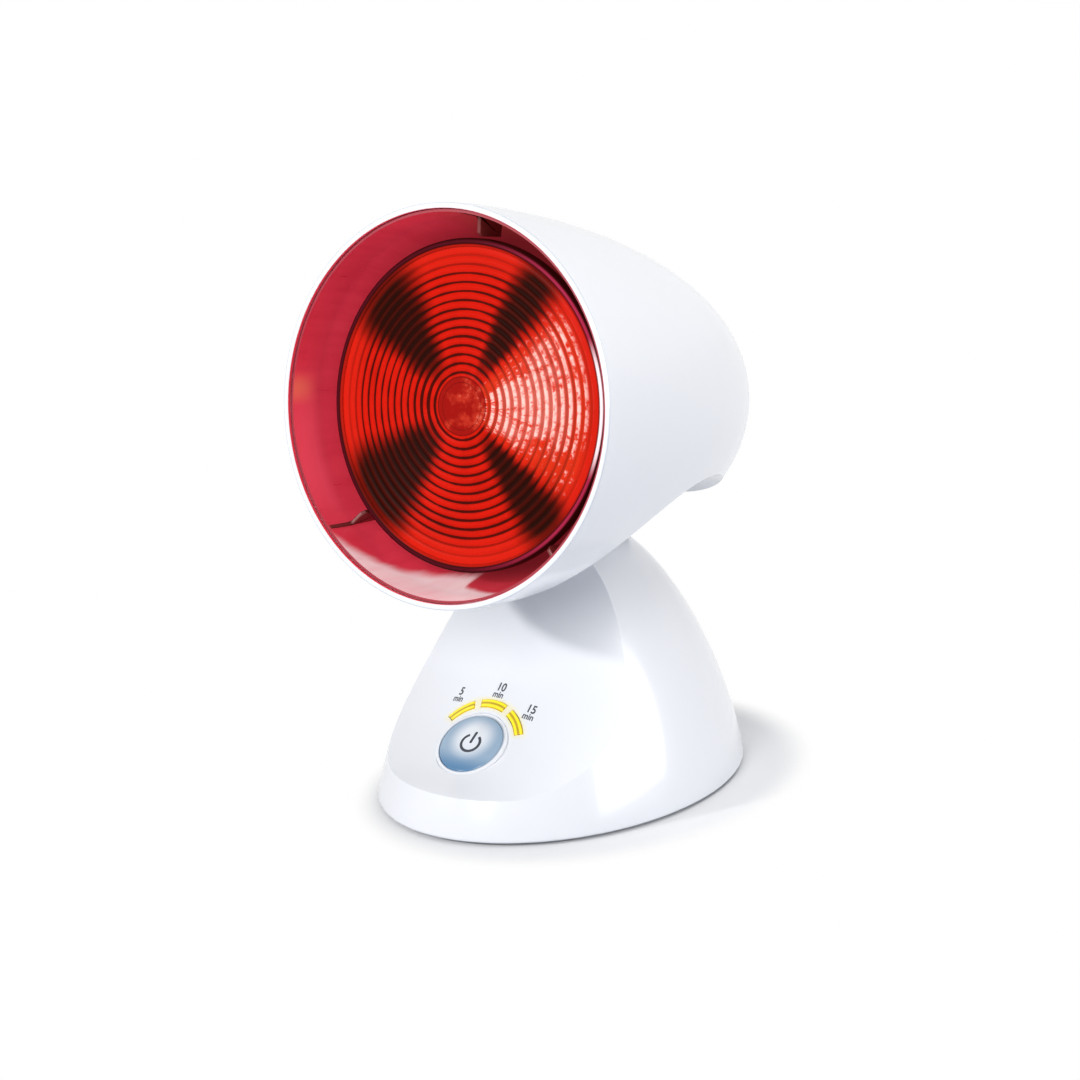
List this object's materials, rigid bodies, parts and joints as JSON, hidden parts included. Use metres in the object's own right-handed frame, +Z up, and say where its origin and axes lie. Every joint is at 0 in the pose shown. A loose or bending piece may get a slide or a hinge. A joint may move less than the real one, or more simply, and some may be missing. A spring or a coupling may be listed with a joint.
{
  "type": "infrared heat lamp",
  "caption": "Table infrared heat lamp: round shade with a red reflector bulb, tilting on a domed base with a push button and timer lights.",
  "frame": {"origin": "middle of the whole lamp's outline on the surface it stands on", "axes": "front faces -Y, +Z up, +X to the right of an onlooker who stands in front of the lamp"},
  "size_m": [0.1458, 0.18, 0.2335],
  "materials": {
    "white_shell": "glossy",
    "inner_white": "satin",
    "crimson_wall": "semi-gloss",
    "red_glass": "glossy",
    "dark_glass": "glossy",
    "yellow_light": "glossy",
    "blue_button": "glossy",
    "silver": "satin",
    "steel": "satin",
    "brass": "satin",
    "porcelain": "satin",
    "black_part": "matte",
    "board": "matte",
    "blue_case": "matte",
    "rubber": "matte"
  },
  "bodies": {
    "base": {"base_shell": "white_shell", "terminal_block": "white_shell", "base_plate": "inner_white", "hinge_tower": "inner_white", "light_guide_five": "yellow_light", "light_guide_ten": "yellow_light", "light_guide_fifteen": "yellow_light", "timer_led_five": "yellow_light", "timer_led_ten": "yellow_light", "timer_led_fifteen": "yellow_light", "button_ring": "silver", "mains_fuse": "silver", "base_screw_1": "steel", "base_screw_2": "steel", "base_screw_3": "steel", "base_screw_4": "steel", "tower_screw_1": "steel", "tower_screw_2": "steel", "hinge_pin": "steel", "hinge_clip": "steel", "detent_spring": "steel", "hinge_washer_left": "brass", "hinge_washer_right": "brass", "timer_switch": "black_part", "mains_relay": "black_part", "smoothing_capacitor": "black_part", "cord_gland": "black_part", "timer_board": "board", "power_board": "board", "filter_capacitor": "blue_case", "foot_1": "rubber", "foot_2": "rubber", "foot_3": "rubber", "foot_4": "rubber"},
    "head": {"head_shell": "white_shell", "shade_liner": "crimson_wall", "tilt_saddle": "white_shell", "saddle_rivet_1": "steel", "saddle_rivet_2": "steel", "holder_housing": "inner_white", "shell_screw_1": "steel", "shell_screw_2": "steel", "lampholder": "porcelain", "holder_sleeve": "brass", "holder_contact": "brass"},
    "bulb": {"bulb_lens": "red_glass", "bulb_bowl": "dark_glass", "bulb_cap": "brass", "cap_insulator": "black_part", "cap_tip": "silver", "filament_stem": "porcelain", "bulb_filament": "steel"},
    "button": {"power_button": "blue_button", "switch_plunger": "black_part"}
  },
  "joints": [
    {"name": "head_tilt", "type": "hinge", "parent": "base", "child": "head", "pos_m": [0, 0.00186, 0.085], "axis": [-1, 0, 0], "range_deg": [-10, 30]},
    {"name": "button_press", "type": "slide", "parent": "base", "child": "button", "axis": [0, 0.5897, -0.8076], "range_m": [0, 0.0008], "stiffness_N_per_m": 1500},
    {"name": "bulb_out", "type": "slide", "parent": "head", "child": "bulb", "axis": [0, -0.988, 0.1544], "range_m": [0, 0.15]}
  ]
}
